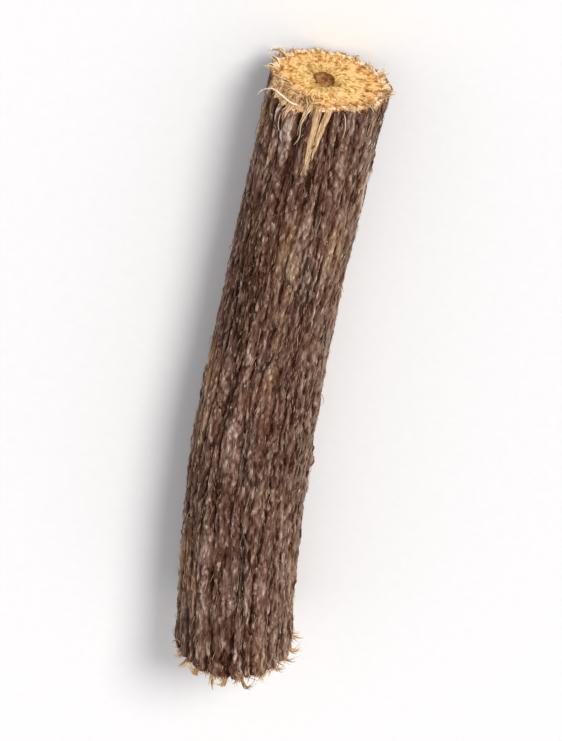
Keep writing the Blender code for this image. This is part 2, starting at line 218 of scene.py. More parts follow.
def noise(u, v, around, seed):
    """Smooth noise of about -1 to 1 over cells of size 1, which meets itself after around cells of v."""
    turns = default_rng(seed).uniform(0, TURN, (LATTICE, around))
    row, column = np.floor(u).astype(int), np.floor(v).astype(int)
    total = 0.0
    for down in (0, 1):
        for over in (0, 1):
            turn = turns[(row + down) % LATTICE, (column + over) % around]
            du, dv = u - row - down, v - column - over
            total += (np.cos(turn) * du + np.sin(turn) * dv) * fade(1 - abs(du)) * fade(1 - abs(dv))
    return 1.5 * total


def rough(u, v, around, seed):
    """Noise with two finer layers on it."""
    return sum(noise(u * 2**k, v * 2**k, around * 2**k, seed + k) / 2**k for k in range(3))


def cells(u, v, around, seed):
    """Irregular cells of about size 1: distance from each place to its cell's middle, gap to the next
    cell, how far along u the place is from the middle, and the cell's own number from 0 to 1."""
    draw = default_rng(seed)
    middle_u, middle_v, numbers = draw.uniform(0.0, 1.0, (3, LATTICE, around))
    row, column = np.floor(u).astype(int), np.floor(v).astype(int)
    shape = np.broadcast(u, v).shape
    nearest, second = np.full(shape, 9.0), np.full(shape, 9.0)
    along, number = np.zeros(shape), np.zeros(shape)
    for down in (-1, 0, 1):
        for over in (-1, 0, 1):
            at = ((row + down) % LATTICE, (column + over) % around)
            du = u - row - down - middle_u[at]
            away = np.hypot(du, v - column - over - middle_v[at])
            closer = away < nearest
            second = np.where(closer, nearest, np.minimum(second, away))
            along = np.where(closer, du, along)
            number = np.where(closer, numbers[at], number)
            nearest = np.where(closer, away, nearest)
    return nearest, second - nearest, along, number


# The stick's form

def wave(s, size, turns, phase):
    """A sine wave along the stick."""
    return size * np.sin(TURN * turns * s / LENGTH + phase)


def lobes(s, angle, size, count, phase, twist):
    """A cosine wave round the stick, which twists along it."""
    return size * np.cos(count * angle + phase + twist * s / LENGTH)


def wander(rows, seed, count):
    """For each of count lines, a smooth run of values between about -1 and 1 along the stick."""
    draw = default_rng(seed)
    total = np.zeros((len(rows), count))
    for length in WANDER_LENGTHS:
        phase = draw.uniform(0, TURN, count)
        total += length * np.sin(TURN * rows[:, None] / length + phase)
    return total / (WANDER_REACH * sum(WANDER_LENGTHS))


def pad_mask(s, angle):
    """1 on the three low spots underneath, 0 away from them."""
    along = sum(plateau(s - middle, PAD_LENGTH) for middle in PAD_PLACES)
    return along * plateau(wrapped(angle - pi), PAD_HALF_ANGLE)


def plain_radius(s, angle):
    """The radius before the ridges."""
    swell = wave(s, *SWELL) + wave(s, *SMALL_SWELL)
    section = lobes(s, angle, *OVAL) + lobes(s, angle, *LOBES)
    flare = FLARE * (np.exp(-(LENGTH - s) / FLARE_LENGTH) + np.exp(-s / FLARE_LENGTH))
    return RADIUS + swell + section + flare


def axis_height(s):
    return AXIS_HEIGHT + wave(s, *AXIS_RISE)


def section_radius(s, angle):
    """The radius with the low spots added, which reach just under the ground before it flattens them."""
    reach = axis_height(s) + PAD_DIP - plain_radius(s, np.full_like(s, pi))
    return plain_radius(s, angle) + reach * pad_mask(s, angle)


def chip(s, angle):
    """How deep the broken corner of the showy rim cuts into the side."""
    across = plateau(wrapped(angle - CHIP_ANGLE), CHIP_HALF_WIDTH)
    return CHIP_DEPTH * across * smooth((s - LENGTH + CHIP_LENGTH) / CHIP_LENGTH)


def tongue(s, angle):
    """How far the torn tongue of wood stands out from the bark, and the sunk gap down its middle, painted
    dark as shade.
    """
    down = np.clip((LENGTH - s) / TONGUE_LENGTH, 0.0, 1.0)
    aside = wrapped(angle - TONGUE_ANGLE - TONGUE_DRIFT * down)
    half_width = TONGUE_HALF_WIDTH * (1 - TONGUE_NARROWING * down)
    height = TONGUE_HEIGHT * (1 - down) ** TONGUE_FALL * plateau(aside, half_width)
    gap = bump_at(aside, GAP_HALF_WIDTH) * smooth((GAP_END - down) / GAP_FADE) * smooth(down / 0.04)
    return height, gap


def slant(s, angle, radius):
    """How far a point moves along X so that the rows near an end follow its slanting cut."""
    up, side = radius * np.cos(angle), radius * np.sin(angle)
    total = 0.0
    for end in (SHOWY, FAR):
        near = smooth(1 - end.outward * (end.s - s) / SLANT_REACH)
        total += near * (end.slope_up * up + end.slope_side * side)
    return total


def place(s, angle, radius):
    """The point at this radius from the middle of the stick, with the ground as its floor."""
    along = 2 * s / LENGTH - 1
    y = BOW * (1 / 3 - along**2) + wave(s, *BEND)
    x = s - LENGTH / 2 + slant(s, angle, radius)
    height = np.maximum(axis_height(s) + radius * np.cos(angle), 0.0)
    return np.stack([x + 0 * height, y - radius * np.sin(angle), height], axis=-1)


def ridge_places(rows, angle):
    """For each place, the number of its ridge plus how far across it lies, and the ridge's height."""
    drift = np.clip(wander(rows, FURROW_SEED, RIDGES), -WANDER_LIMIT, WANDER_LIMIT)
    furrows = (np.arange(RIDGES) + RIDGE_WANDER * drift) * TURN / RIDGES
    widths = np.roll(furrows, -1, axis=1) - furrows
    widths[:, -1] += TURN
    strength = USUAL_STRENGTH + STRENGTH_WANDER * wander(rows, STRENGTH_SEED, RIDGES)
    strength = np.clip(strength, LEAST_STRENGTH, MOST_STRENGTH)
    strength *= np.sqrt(np.maximum(widths * RIDGES / TURN, 0.0))
    starts = furrows - furrows[:, :1]
    turned = (angle - furrows[:, :1]) % TURN
    ridge = np.zeros(angle.shape, int)
    for k in range(1, RIDGES):
        ridge += turned >= starts[:, k : k + 1]
    start, width, top = (np.take_along_axis(values, ridge, 1) for values in (starts, widths, strength))
    across = np.clip((turned - start) / width, 0.0, 1.0)
    return ridge + across, top * np.sin(pi * across) ** RIDGE_ROUNDNESS


def strips(s, ridge, per_ridge, length, drift, seed):
    """Heights from 0 to 1 of narrow strips, per_ridge to a ridge, with wandering cracks between them."""
    shift = noise(s / length, ridge, RIDGES, seed)
    shift += 0.5 * noise(2.6 * s / length, 2 * ridge, 2 * RIDGES, seed + 1)
    v = ridge * per_ridge + drift * shift
    number = np.floor(v)
    across = v - number
    strength = 0.68 + 0.55 * noise(1.4 * s / length, number + 0.5, per_ridge * RIDGES, seed + 2)
    return np.clip(strength, 0.1, 1.2) * np.sin(pi * across) ** 0.55


def creases(s, ridge, depth, length, per_ridge, seed):
    """Long, rounded swellings, per_ridge to a ridge, with sharp creases of about this depth between."""
    bend = 0.35 * noise(s / length, ridge, RIDGES, seed + 1)
    value = noise(s / length, (ridge + bend) * per_ridge, round(per_ridge * RIDGES), seed)
    return depth * (np.clip(abs(value) / CREASE_TOP, 0, 1) ** CREASE_ROUNDNESS - CREASE_MIDDLE)


def scar_marks(s, angle):
    """The scars of fine rootlets: a low collar round a sunken middle, which is painted dark as shade in the
    pit.
    """
    height, middle = 0.0, 0.0
    for scar_s, scar_angle, scar_radius in SCARS:
        across = RADIUS * wrapped(angle - radians(scar_angle))
        away = np.hypot(s - scar_s * MM, 1.25 * across) / (scar_radius * MM)
        height += SCAR_COLLAR * bump_at(away - 1.1, 0.35) - SCAR_DEPTH * bump_at(away, 0.6)
        middle += bump_at(away, 0.65)
    return height, middle


def stub_marks(s, angle):
    """The stubs of the two lateral rootlets: their height, woody tops and hollow middles, which are painted
    dark as shade.
    """
    height, top, middle = 0.0, 0.0, 0.0
    for stub_s, stub_angle in STUB_PLACES:
        across = RADIUS * wrapped(angle - stub_angle)
        turn = np.arctan2(across, s - stub_s)
        ragged = 1 + 0.1 * np.sin(5 * turn + 1.0) + 0.06 * np.sin(11 * turn)
        away = np.hypot(s - stub_s, across) * ragged
        foot = STUB_RADIUS + STUB_FLARE
        rise = smooth((foot - away) / (foot - STUB_TOP_RADIUS))
        hollow = bump_at(away, HOLLOW_RADIUS)
        height += STUB_HEIGHT * rise - HOLLOW_DEPTH * hollow
        top += smooth((STUB_TOP_RADIUS - away) / STUB_EDGE)
        middle += 0.8 * hollow
    return height, np.clip(top, 0.0, 1.0), middle


def bark(rows, angle):
    """The bark's radius at each place, and what its colours and its painted shade and light follow."""
    s = rows[:, None] + 0 * angle
    ridge, main = ridge_places(rows, angle)
    strip = strips(s, ridge, 2, STRIP_LENGTH, STRIP_WANDER, 101)
    u = s / PLATE_LENGTH + 0.35 * noise(s / (3 * MM), ridge, RIDGES, 121)
    v = (ridge + 0.4 * noise(s / (2 * MM), ridge, RIDGES, 122)) * PLATES_AROUND / RIDGES
    _, gap, along, plate = cells(u, v, PLATES_AROUND, 123)
    plates = PLATE_STEP * (plate - 0.5) + PLATE_TILT * along * (2 * plate - 1)
    plates -= PLATE_CRACK * bump_at(gap, CRACK_SHARE)
    crossing = noise(s / WRINKLE_LENGTH, ridge / 2, RIDGES // 2, 131)
    patchy = smooth(0.5 + 1.2 * noise(s / (7 * MM), ridge / 4, RIDGES // 4, 132))
    wrinkle = smooth(1 - abs(crossing) / WRINKLE_SHARE) * patchy
    away, _, _, number = cells(s / SPECK_LENGTH, ridge * SPECKS_AROUND / RIDGES, SPECKS_AROUND, 141)
    speck = bump_at(away, SPECK_SIZE * (0.4 + 0.8 * number)) * (number > 0.45)
    grain = rough(s / GRAIN_LENGTH, ridge * 5, RIDGES * 5, 151)
    scar, scar_middle = scar_marks(s, angle)
    stub, stub_top, stub_hollow = stub_marks(s, angle)
    worn = smooth(0.5 + 1.5 * noise(s / (6 * MM), ridge / 2, RIDGES // 2, 171))
    creased = creases(s, ridge, *CREASES) + creases(s, ridge, *FINE_CREASES)
    fine = STRIP_DEPTH * (strip - 0.55)
    fine += creased * (LEAST_CREASING + (MOST_CREASING - LEAST_CREASING) * worn)
    fine += plates - WRINKLE_DEPTH * wrinkle + SPECK_HEIGHT * speck + GRAIN_DEPTH * grain
    deeper = smooth((s - LENGTH + DEEP_LENGTH) / DEEP_FADE)
    deeper *= bump_at(wrapped(angle - DEEP_ANGLE), DEEP_HALF_WIDTH)
    relief = RIDGE_DEPTH * (1 + DEEPENING * deeper) * (main - 0.5) + fine
    relief *= 1 - PAD_SMOOTHING * pad_mask(s, angle)
    tear, parting = tongue(s, angle)
    broken = chip(s, angle)
    bare = smooth((tear / TONGUE_HEIGHT - 0.3) / 0.35) + np.clip(1.8 * broken / CHIP_DEPTH, 0, 1)
    smear = bump_at(wrapped(angle - SMEAR_ANGLE), SMEAR_HALF_WIDTH) * smooth((LENGTH - s - SMEAR_START) / MM)
    smear *= smooth((SMEAR_LENGTH - LENGTH + s) / SMEAR_FADE) * smooth(0.6 + strip)
    bare += SMEAR_STRENGTH * smear
    bare = np.clip(bare + 0.25 * grain * (bare > 0) - parting, 0.0, 1.0)
    shred = strips(s, ridge, 7, 5 * MM, 0.7, 161) - 0.5
    radius = section_radius(s, angle) + relief * (1 - 0.75 * bare) + scar + stub
    radius += tear * (1 - 1.3 * parting) + 0.2 * MM * shred * bare - broken * (1 + 0.25 * grain)
    return {
        "radius": radius,
        # relief and fine feed painted shade in the furrows and painted light on the crests
        "relief": relief / (0.8 * MM) + 0.5,
        "fine": (fine + 0.4 * RIDGE_DEPTH * main) / (0.8 * MM),
        "plate": plate,
        "speck": np.clip(speck, 0, 1),
        # Painted shade: scar pits, stub hollows and the gap down the torn tongue are laid dark
        "dark": np.clip(scar_middle + stub_hollow + 0.8 * parting * (tear > 0.05 * MM), 0, 1),
        "wood": np.clip(bare + 0.52 * stub_top, 0, 1),
    }


def torn_corner(share, angle):
    """1 where wood is torn out of the showy face's edge above the broken corner, 0 away from there."""
    across = plateau(wrapped(angle - TEAR_ANGLE), TEAR_HALF_WIDTH)
    return across * smooth((share - TEAR_START) / TEAR_FADE)


def face_relief(share, angle, radius, showy):
    """How far each place on a sawn face stands out from the plane of the cut, and the painted shade of its
    notches and cracks.
    """
    seed = 200 if showy else 300
    up, side = radius * np.cos(angle), radius * np.sin(angle)
    around = angle / TURN
    share = share + 0 * angle
    height = MM * np.interp(share, FACE_SHAPE_SHARES, FACE_SHAPE_HEIGHTS)
    ray = noise(2.4 * share, around * RAYS, RAYS, seed)
    ray += 0.6 * noise(5 * share, around * 2 * RAYS, 2 * RAYS, seed + 1)
    height += RAY_DEPTH * ray * smooth((share - 0.14) / 0.15) * (0.8 + 0.4 * smooth((share - 0.8) / 0.05))
    coarse = rough(side / COARSE_SIZE + 90, up / COARSE_SIZE + 90, LATTICE, seed + 2)
    height += COARSE_DEPTH * coarse
    height -= CAMBIUM_DEPTH * bump_at(share - CAMBIUM_SHARE - 0.01 * coarse, CAMBIUM_WIDTH)
    ragged = noise(around * 90, share * 0, 1, seed + 6) + noise(around * 210, share * 0, 1, seed + 7)
    height -= RIM_RAGGEDNESS * smooth((share - 0.93) / 0.07) * smooth(0.4 + ragged)
    dark = 0 * share
    if showy:
        comb = plateau(wrapped(angle - COMB_ANGLE), COMB_HALF_WIDTH) * smooth((share - 0.8) / 0.12)
        waver = 2 * noise(around * 24, share * 3, LATTICE, seed + 8)
        teeth = smooth(0.35 + 0.9 * np.sin(COMB_TEETH * angle + waver))
        height -= COMB_DEPTH * comb * teeth
        # The notches are painted dark as shade
        dark += 0.8 * comb * teeth
        height -= TEAR_DEPTH * torn_corner(share - 0.05 * ray, angle)
    for split_angle, reach, width, depth in SPLITS:
        line = radians(split_angle if showy else 140 - split_angle)
        line += 0.12 * noise(share * 6, share * 0 + 0.5, 4, seed + 9)
        across = radius * np.sin(wrapped(angle - line))
        inside = smooth((reach - share) / 0.06) * (np.cos(angle - line) > 0) * smooth((share - 0.13) / 0.05)
        height -= depth * MM * bump_at(across, width * MM) * inside
        # The crack is painted dark as shade along its sunk line
        dark += bump_at(across, width * MM) * inside
    pith_edge = PITH_RADIUS / RADIUS * (1 + 0.07 * np.sin(3 * angle + 1) + 0.05 * coarse)
    pith_edge += PITH_TALLNESS * np.cos(angle) ** 2
    crumbs = rough(side / CRUMB_SIZE + 60, up / CRUMB_SIZE + 60, LATTICE, seed + 12)
    sunk = smooth((pith_edge - share) / 0.045)
    height = height * (1 - 0.7 * sunk) - (SUNK_PITH_SHARE * PITH_DEPTH - CRUMB_DEPTH * crumbs) * sunk
    return height, np.clip(dark, 0, 1)


# Meshes

# What the materials read on sawn wood, where a face has no value of its own
SAWN_WOOD = {"share": 0, "dark": 0, "plate": 0, "speck": 0, "wood": 1, "relief": 0.5, "painted_crease_shade": 0.5}
RIM_BLEND = 0.25 * MM


def mesh_object(name, vertices, faces):
    mesh = bpy.data.meshes.new(name)
    mesh.from_pydata(vertices, [], faces)
    mesh.update()
    obj = bpy.data.objects.new(name, mesh)
    bpy.context.scene.collection.objects.link(obj)
    return obj


def store(mesh, name, values):
    """Keeps a value, or a vector, for each vertex under a name that the materials read."""
    kind, key = ("FLOAT_VECTOR", "vector") if values.ndim == 2 else ("FLOAT", "value")
    mesh.attributes.new(name, kind, "POINT").data.foreach_set(key, values.astype(np.float32).ravel())


def row_places():
    """Distances along the stick, closer together near both ends."""
    near = np.arange(0, END_ROWS_REACH, END_ROW_SPACING)
    count = round((LENGTH - 2 * END_ROWS_REACH) / ROW_SPACING)
    middle = np.linspace(END_ROWS_REACH, LENGTH - END_ROWS_REACH, count)
    return np.concatenate([near, middle, LENGTH - near[::-1]])


def ring_shares():
    """The rings of a sawn face, as shares of the way out from the pith, closer together at the rim."""
    t = np.linspace(0, 1, FACE_RINGS + 1)[1:-1]
    return 0.35 * t + 0.65 * (1 - (1 - t) ** 1.6)


def ring_quads(rings, sides):
    """The quads between closed rings of points that follow each other."""
    here = np.arange((rings - 1) * sides).reshape(-1, sides)
    there = np.roll(here, -1, axis=1)
    return np.stack([here, there, there + sides, here + sides], axis=-1).reshape(-1, 4)


def straightened(s, turn, radius):
    """The places in mm as they would be on a straight stick, for patterns that run along it."""
    return np.stack(np.broadcast_arrays(s, radius * np.sin(turn), radius * np.cos(turn)), axis=-1) / MM


def spokes(turn, share):
    """The direction from the pith and the share of the way out, for patterns that run outwards."""
    return np.stack(np.broadcast_arrays(np.cos(turn), np.sin(turn), share), axis=-1)


def face_rings(end, angle, rim):
    """The points of a sawn face from its middle out, and what its colours follow."""
    shares = ring_shares()[:, None]
    up = shares * rim * np.cos(angle) + (1 - shares) * end.pith_up
    side = shares * rim * np.sin(angle) + (1 - shares) * end.pith_side
    turn, radius = np.arctan2(side, up), np.hypot(up, side)
    height, dark = face_relief(shares, angle, shares * RADIUS, end is SHOWY)
    points = place(np.full_like(turn, end.s), turn, radius)
    points[..., 0] += end.outward * height
    from_pith = shares - PITH_TALLNESS * np.cos(angle) ** 2 * smooth((0.5 - shares) / 0.3)
    if end is SHOWY:
        from_pith -= TORN_WOOD_SHIFT * torn_corner(shares, angle)
    face = {name: np.full_like(turn, value) for name, value in SAWN_WOOD.items()}
    face |= {"points": points, "straight": straightened(end.s + end.outward * height, turn, radius)}
    return face | {"spoke": spokes(angle, from_pith), "share": from_pith, "dark": dark}


def stick():
    """The whole stick as one closed mesh."""
    rows = row_places()
    angle = np.broadcast_to(np.linspace(-pi, pi, COLUMNS, endpoint=False), (len(rows), COLUMNS))
    s = rows[:, None] + 0 * angle
    side = bark(rows, angle)
    side["points"] = place(s, angle, side["radius"])
    for end in (FAR, SHOWY):
        height, _ = face_relief(1.0, angle[:1], RADIUS, end is SHOWY)
        side["points"][..., 0] += end.outward * height * np.exp(-end.outward * (end.s - s) / RIM_BLEND)
    side["straight"] = straightened(s, angle, side["radius"])
    side["spoke"] = spokes(angle, 1.0)
    side["share"] = 1 + np.minimum(s, LENGTH - s) / MM
    # Painted shade and light: the fine relief less its blur, which darkens the colour in fine creases and
    # lightens it on fine crests
    blurred = sum(np.roll(side["fine"], k, axis=1) for k in range(-6, 7)) / 13
    side["painted_crease_shade"] = 0.5 + 1.6 * (side["fine"] - blurred)
    far = face_rings(FAR, angle[:1], side["radius"][:1])
    showy = face_rings(SHOWY, angle[:1], side["radius"][-1:])

    def all_round(name, *at_middles):
        """The values on the far face, the bark and the showy face, then those at the faces' middles."""
        grid = np.concatenate([far[name], side[name], showy[name][::-1]])
        return np.concatenate([grid.reshape(-1, *grid.shape[2:]), at_middles])

    vertices = all_round("points", far["points"][0].mean(axis=0), showy["points"][0].mean(axis=0))
    far_middle, showy_middle = len(vertices) - 2, len(vertices) - 1
    last = far_middle - COLUMNS
    faces = ring_quads(far_middle // COLUMNS, COLUMNS).tolist()
    faces += [(far_middle, (k + 1) % COLUMNS, k) for k in range(COLUMNS)]
    faces += [(last + k, last + (k + 1) % COLUMNS, showy_middle) for k in range(COLUMNS)]
    obj = mesh_object("stick", vertices.tolist(), faces)
    store(obj.data, "straight", all_round("straight", (0, 0, 0), (LENGTH / MM, 0, 0)))
    store(obj.data, "spoke", all_round("spoke", (1, 0, 0), (1, 0, 0)))
    for name, value in SAWN_WOOD.items():
        store(obj.data, name, all_round(name, value, value))
    obj.data.shade_smooth()
    thin_out(obj, STICK_TRIANGLES)
    return obj


def thin_out(obj, triangles):
    """Merges the smallest triangles until about this many are left."""
    present = sum(len(face.vertices) - 2 for face in obj.data.polygons)
    thinner = obj.modifiers.new("thinner", "DECIMATE")
    thinner.ratio = triangles / present
    bpy.context.view_layer.objects.active = obj
    bpy.ops.object.modifier_apply(modifier=thinner.name)


def many(name, vertices, faces, tint, tip):
    """One mesh of many alike things, with a tint for each and how near each vertex is to its tip."""
    obj = mesh_object(name, vertices.reshape(-1, 3).tolist(), faces)
    store(obj.data, "tint", np.repeat(tint, len(tip)))
    store(obj.data, "tip", np.tile(tip, len(tint)))
    obj.data.shade_smooth()
    return obj


def tubes(name, centres, radii, tint, sides=3):
    """One mesh of closed, tapering fibres. centres and radii are given for each fibre and point of it."""
    count, points = radii.shape
    centres = centres.copy()
    centres[..., 2] = np.maximum(centres[..., 2], radii + 0.02 * MM)
    along = np.gradient(centres, axis=1)
    along /= np.linalg.norm(along, axis=2, keepdims=True)
    across = np.cross(along[:, 0], np.roll(along[:, 0], 1, axis=1) + (0.3, -0.2, 0.1))
    rings = np.empty((count, points, sides, 3))
    for i in range(points):
        across -= np.sum(across * along[:, i], axis=1, keepdims=True) * along[:, i]
        across /= np.linalg.norm(across, axis=1, keepdims=True)
        other = np.cross(along[:, i], across)
        for k in range(sides):
            turn = TURN * k / sides
            offset = cos(turn) * across + sin(turn) * other
            rings[:, i, k] = centres[:, i] + radii[:, i, None] * offset
    starts = np.arange(count)[:, None, None] * points * sides
    faces = (ring_quads(points, sides) + starts).reshape(-1, 4).tolist()
    bottom = np.arange(sides)[::-1]
    caps = np.stack([bottom, bottom[::-1] + (points - 1) * sides])
    faces += (caps + starts).reshape(-1, sides).tolist()
    return many(name, rings, faces, tint, np.repeat(np.linspace(0, 1, points), sides))


def surface_radius(s, angle):
    """The bark's radius at scattered places."""
    return bark(s.ravel(), angle.reshape(-1, 1))["radius"].reshape(s.shape)


def splinter_bundles(end):
    """The model's splinters, each as a bundle of fibres that follows it and parts at its tip."""
    draw, play = default_rng(end.seed), default_rng(end.seed + 1000)
    t = np.linspace(0.0, 1.0, 9)
    made = []
    for number in range(end.splinters):
        angle = (number + draw.uniform(-SPLINTER_PLAY, SPLINTER_PLAY)) * TURN / end.splinters - pi
        height = end.rise * draw.uniform(*RISE_RANGE)
        spread = draw.uniform(*SPREAD_RANGE)
        curl = draw.uniform(*CURL_RANGE)
        lean = draw.uniform(-SPLINTER_LEAN, SPLINTER_LEAN)
        thickness = draw.uniform(*THICKNESS_RANGE)
        if pi - abs(angle) < UNDERSIDE_HALF_ANGLE:
            spread, curl = UNDERSIDE_SPREAD, UNDERSIDE_CURL
        at = np.array([end.s])
        start = (section_radius(at, angle) - chip(at, angle))[0] - SPLINTER_INSET
        for _ in range(end.fibres):
            reach = play.uniform(0.55, 1.05)
            part = play.normal(0, 0.5, 3)
            out = start + reach * spread * t + thickness * part[0] * (0.5 + t)
            turn = angle + lean * reach * t + thickness * part[1] * (0.5 + 1.5 * t) / RADIUS
            axial = height * np.sin(curl * reach * t) + 0.4 * thickness * part[2] - 0.5 * MM * (t == 0)
            radii = 0.45 * thickness * play.uniform(0.5, 1.0) * (1.05 - t) ** 0.7
            made.append((place(end.s + end.outward * axial, turn, out), radii, play.uniform(0, 1)))
    return [np.array(values) for values in zip(*made)]


def rim_fibres(end):
    """Short torn fibres in tufts all round a rim, rooted in the face's edge or just below it."""
    draw = default_rng(end.fringe_seed)
    shape, length = (end.fringe, 1), end.fringe_length
    tufts = draw.uniform(-pi, pi, 400)
    chance = end.evenly + end.crowding * bump_at(wrapped(tufts - CROWDED_ANGLE), CROWDED_WIDTH)
    tufts = tufts[draw.uniform(0, 1, len(tufts)) < chance]
    tuft = draw.integers(0, len(tufts), shape)
    direction = draw.normal(0, 1, (len(tufts), 3))[tuft]
    angle = tufts[tuft] + draw.normal(0, 0.035, shape)
    size = length * (0.35 + draw.gamma(2.0, 0.32, shape)) * (1 + 0.25 * direction[..., 0])
    size = np.clip(size, 0.25 * MM, 2.4 * length)
    below = pi - abs(wrapped(angle)) < UNDERSIDE_HALF_ANGLE
    depth = draw.uniform(0.0, 1.0, shape) ** 6 * 1.3 * MM
    rim = surface_radius(end.s - end.outward * depth, angle)
    inset = np.where(depth < 0.25 * MM, draw.uniform(0.05, 0.9, shape) ** 1.5 * MM, 0.06 * MM)
    lift = draw.uniform(0.3, 1.0, shape)
    lift = np.where(below, np.maximum(lift, 0.6), lift)
    flare = np.where(below, 0.04, draw.uniform(0.05, 1.0, shape) ** 1.5)
    flare = np.where(depth > 0.25 * MM, 0.25 * flare, flare)
    t = np.linspace(0, 1, 7)[None, :]
    curl = 0.8 + 0.9 * abs(draw.normal(0, 1, shape))
    axial = size * lift * np.sin(curl * t) / curl
    out = rim - inset + size * flare * (1 - np.cos(curl * t)) / curl * 1.4
    out += size * 0.25 * flare * t
    sway = 0.35 * direction[..., 1] + draw.normal(0, 0.25, shape)
    turn = angle + size / RADIUS * sway * t + 0.02 * np.sin(6 * t + direction[..., 2]) * t
    s = end.s - end.outward * (depth + 0.25 * MM * (t == 0)) + end.outward * axial
    radii = draw.uniform(0.03, 0.075, shape) * MM * (1.04 - t) ** 0.6
    return place(s, turn, out), radii, draw.uniform(0, 1, end.fringe)


def bark_hairs(count, seed):
    """Fine loose fibres on the bark, nearly in line with it, each rooted at one end or both."""
    draw, shape = default_rng(seed), (count, 1)
    s = draw.uniform(0.6 * MM, LENGTH - 0.6 * MM, shape)
    angle = draw.uniform(-pi, pi, shape)
    length = (0.35 + draw.gamma(2.2, 0.32, shape)) * MM * draw.choice([-1, 1], shape)
    slope = draw.normal(0, 0.13, shape)
    lift = draw.gamma(1.6, 0.06, shape) * MM
    arched = draw.uniform(0, 1, shape) < 0.45
    lift = np.where(pi - abs(angle) < radians(40), 0.03 * MM, lift)
    t = np.linspace(0, 1, 6)[None, :]
    rise = np.where(arched, np.sin(pi * t), t**1.4) * lift
    along = np.clip(s + length * t, 0.2 * MM, LENGTH - 0.2 * MM)
    turn = angle + slope * length / RADIUS * t + 0.006 * np.sin(5 * t + 9 * slope)
    base = surface_radius(along, turn)
    base = np.maximum(base, np.maximum(base[:, :1], base[:, -1:]) - 0.05 * MM)
    out = base + rise - 0.05 * MM * (t == 0) - 0.04 * MM * (arched & (t == 1)) + 0.015 * MM
    radii = draw.uniform(0.018, 0.045, shape) * MM * (1.05 - 0.9 * t) ** 0.5
    return place(along, turn, out), radii, draw.uniform(0, 1, count)


def strand(start, end, length, fibres, width, seed):
    """A torn strip of wood fibres that runs down the bark from the showy rim."""
    draw, shape = default_rng(seed), (fibres, 1)
    start, end = radians(start), radians(end)
    length, width = length * MM, width * MM
    t = np.linspace(0, 1, 16)[None, :]
    reach = length * draw.uniform(0.45, 1.05, shape)
    offset = draw.uniform(-0.5, 0.5, shape) * width / RADIUS
    bend = 0.012 * np.sin(7 * t + 1.3) + 0.012 * np.sin(15 * t * draw.uniform(0.8, 1.2, shape) + seed)
    turn = start + (end - start) * t * reach / length
    turn = turn + offset * (1 - 0.55 * t) + bend * t
    along = LENGTH + 0.12 * MM - reach * t
    base = surface_radius(np.minimum(along, LENGTH), turn)
    lift = draw.uniform(0.02, 0.16, shape) * MM * np.sin(pi * t) ** 0.5
    fray = draw.uniform(-0.02, 0.22, shape) * MM * t**4
    out = base + lift + fray - 0.1 * MM * (t == 0)
    radii = draw.uniform(0.035, 0.085, shape) * MM * (1.05 - t) ** 0.45
    return place(along, turn, out), radii, draw.uniform(0.35, 1, fibres)


def through(points, count):
    """A smooth line through a few points, as count points."""
    points = np.asarray(points, float)
    ends = np.concatenate([2 * points[:1] - points[1:2], points, 2 * points[-1:] - points[-2:-1]])
    spots = np.linspace(0, len(points) - 1 - 1e-6, count)
    k = spots.astype(int)
    t = (spots - k)[:, None]
    a, b, c, d = (ends[k + i] for i in range(4))
    return 0.5 * (2 * b + (c - a) * t + (2 * a - 5 * b + 4 * c - d) * t**2 + (3 * b - a - 3 * c + d) * t**3)


def loose_fibres():
    """Long pale fibres that curl off the showy rim and its broken corner."""
    centres = []
    for _, _, *route in LOOSE_FIBRES:
        line = through(route, 30)
        radius = RADIUS + line[:, 2] * MM
        centres.append(place(LENGTH - line[:, 0] * MM, np.radians(line[:, 1]), radius))
    thickness, tint = np.array([fibre[:2] for fibre in LOOSE_FIBRES]).T
    radii = thickness[:, None] * MM * (1.05 - np.linspace(0, 1, 30)[None, :]) ** 0.35
    return np.array(centres), radii, tint


def flakes(count, seed):
    """Thin scales of cork, fixed to the bark at one end and curling off it at the other."""
    draw = default_rng(seed)
    columns, steps = 4, 6
    s = draw.uniform(2 * MM, LENGTH - 2 * MM, (count, 1, 1))
    angle = draw.uniform(-pi, pi, (count, 1, 1))
    keep = pi - abs(angle[:, 0, 0]) > radians(48)
    s, angle = s[keep], angle[keep]
    length = draw.uniform(0.8, 2.4, s.shape) * MM * draw.choice([-1, 1], s.shape)
    width = draw.uniform(0.22, 0.6, s.shape) * MM
    lift = draw.uniform(0.03, 0.14, s.shape) * MM
    skew = draw.normal(0, 0.1, s.shape)
    t = np.linspace(0, 1, steps)[None, :, None]
    w = np.linspace(-0.5, 0.5, columns)[None, None, :]
    narrowing = 0.55 + 0.45 * np.sin(pi * (0.15 + 0.75 * t))
    along = np.clip(s + length * (t + 0.1 * np.sin(9 * w + 40 * skew)), 0.4 * MM, LENGTH - 0.4 * MM)
    turn = angle + (width * w * narrowing + skew * length * t) / RADIUS
    base = surface_radius(along, turn)
    base = np.maximum(base, np.percentile(base, 70, axis=(1, 2), keepdims=True) - 0.05 * MM)
    out = base + lift * t**1.7 + 0.05 * MM * np.cos(3 * w) * t - 0.09 * MM * (1 - t) ** 3
    sides = [place(along, turn, out), place(along, turn, out - (0.055 - 0.02 * t) * MM)]
    size = steps * columns
    grid = np.arange(size).reshape(steps, columns)
    top = np.stack([grid[:-1, :-1], grid[:-1, 1:], grid[1:, 1:], grid[1:, :-1]], axis=-1).reshape(-1, 4)
    edge = np.concatenate([grid[0], grid[1:, -1], grid[-1, -2::-1], grid[-2:0:-1, 0]])
    ahead = np.roll(edge, -1)
    wall = np.stack([ahead, edge, edge + size, ahead + size], axis=-1)
    scale = np.concatenate([top, top[:, ::-1] + size, wall])
    faces = np.where(length < 0, scale[:, ::-1], scale) + np.arange(len(s))[:, None, None] * 2 * size
    tip = np.tile(np.repeat(np.linspace(0, 1, steps), columns), 2)
    tint = draw.uniform(0, 1, len(s))
    return many("cork_flakes", np.concatenate(sides, axis=1), faces.reshape(-1, 4).tolist(), tint, tip)


# Materials

